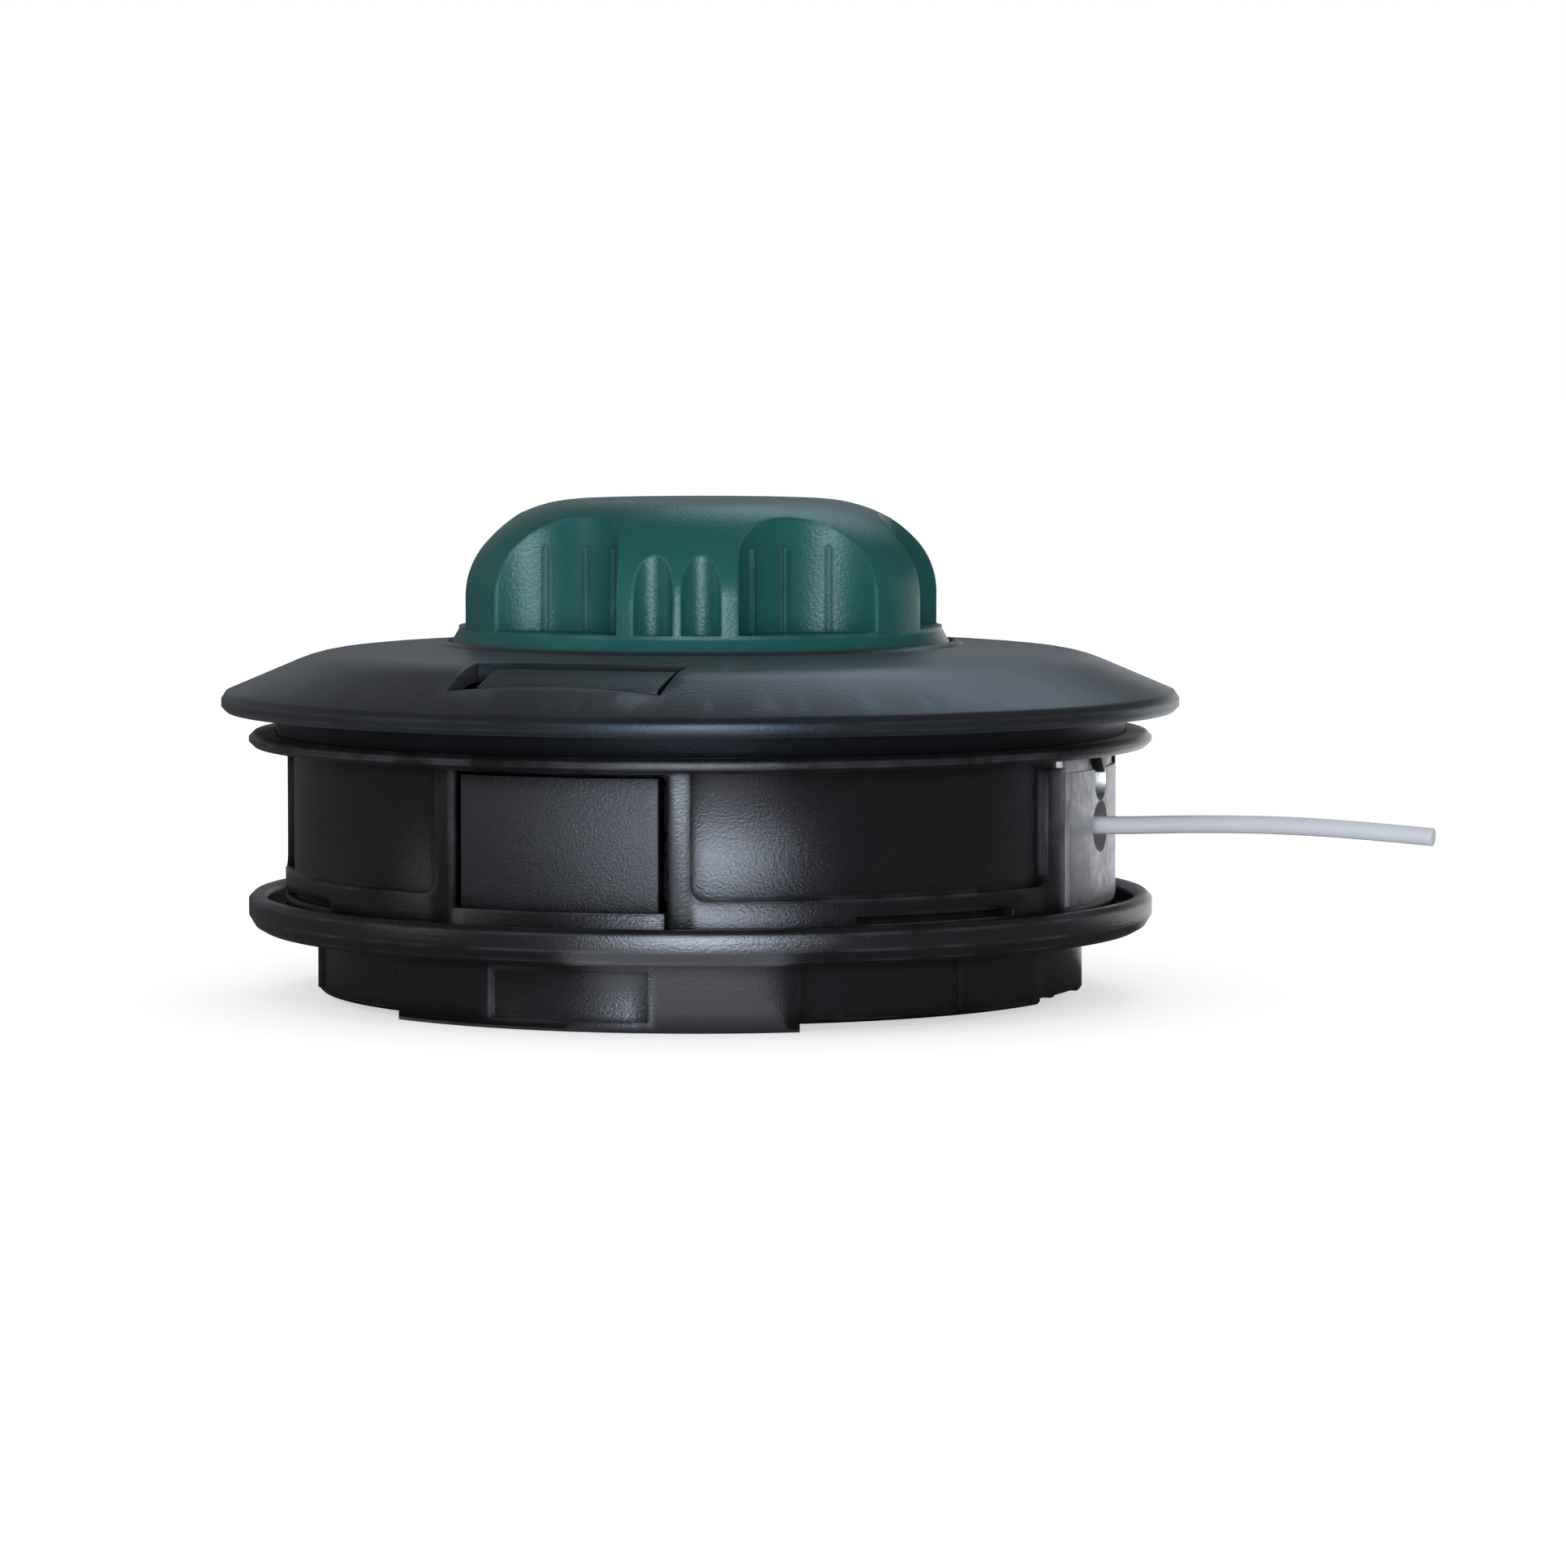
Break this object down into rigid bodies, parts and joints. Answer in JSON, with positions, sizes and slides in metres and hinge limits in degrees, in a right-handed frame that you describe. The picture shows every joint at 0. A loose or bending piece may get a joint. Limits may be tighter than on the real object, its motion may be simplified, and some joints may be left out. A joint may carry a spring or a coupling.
{
  "type": "trimmer head",
  "caption": "Round bump-feed line head for a grass trimmer: domed cover with a grip knob, drum with press latches and metal line eyelets, and a threaded drive insert underneath.",
  "frame": {"origin": "on the head's turning axis, in the plane of the feet it stands on", "axes": "+Z along the turning axis from the drive insert to the knob, +X through the eyelet that the line leaves, Y through the latches"},
  "size_m": [0.1673, 0.13, 0.0673],
  "materials": {
    "body_plastic": "fine moulded grain, semi-gloss black nylon",
    "knob_plastic": "moulded, satin dark green",
    "spool_plastic": "moulded, plain",
    "line_nylon": "drawn nylon, milky white",
    "eyelet_aluminium": "satin, lightly scratched",
    "plain_steel": "zinc plated",
    "spring_steel": "bright drawn"
  },
  "bodies": {
    "housing": {"base": "body_plastic", "drum": "body_plastic", "cover": "body_plastic", "drive_insert": "plain_steel", "eyelet_right": "eyelet_aluminium", "eyelet_left": "eyelet_aluminium", "line_tail": "line_nylon", "coil_spring": "spring_steel", "latch_spring_front": "spring_steel", "latch_spring_back": "spring_steel"},
    "bump_slider": {"spring_washer": "plain_steel"},
    "spool_unit": {"spool": "spool_plastic", "bump_knob": "knob_plastic", "winding_upper": "line_nylon", "winding_lower": "line_nylon", "knob_screw": "plain_steel", "screw_washer": "plain_steel"},
    "front_latch": {"latch_front": "body_plastic"},
    "back_latch": {"latch_back": "body_plastic"}
  },
  "joints": [
    {"name": "knob_bump", "type": "slide", "parent": "housing", "child": "bump_slider", "axis": [0, 0, -1], "range_m": [0, 0.005], "stiffness_N_per_m": 2000, "springref_m": -0.006, "deforming": ["coil_spring"]},
    {"name": "spool_wind", "type": "hinge", "parent": "bump_slider", "child": "spool_unit", "pos_m": [0, 0, 0.03], "axis": [0, 0, 1], "continuous": true},
    {"name": "latch_front_press", "type": "hinge", "parent": "housing", "child": "front_latch", "pos_m": [0, -0.0534, 0.014], "axis": [-1, 0, 0], "range_deg": [0, 6], "stiffness_Nm_per_rad": 1, "springref_deg": -5.73, "deforming": ["latch_spring_front"]},
    {"name": "latch_back_press", "type": "hinge", "parent": "housing", "child": "back_latch", "pos_m": [0, 0.0534, 0.014], "axis": [1, 0, 0], "range_deg": [0, 6], "stiffness_Nm_per_rad": 1, "springref_deg": -5.73, "deforming": ["latch_spring_back"]}
  ]
}
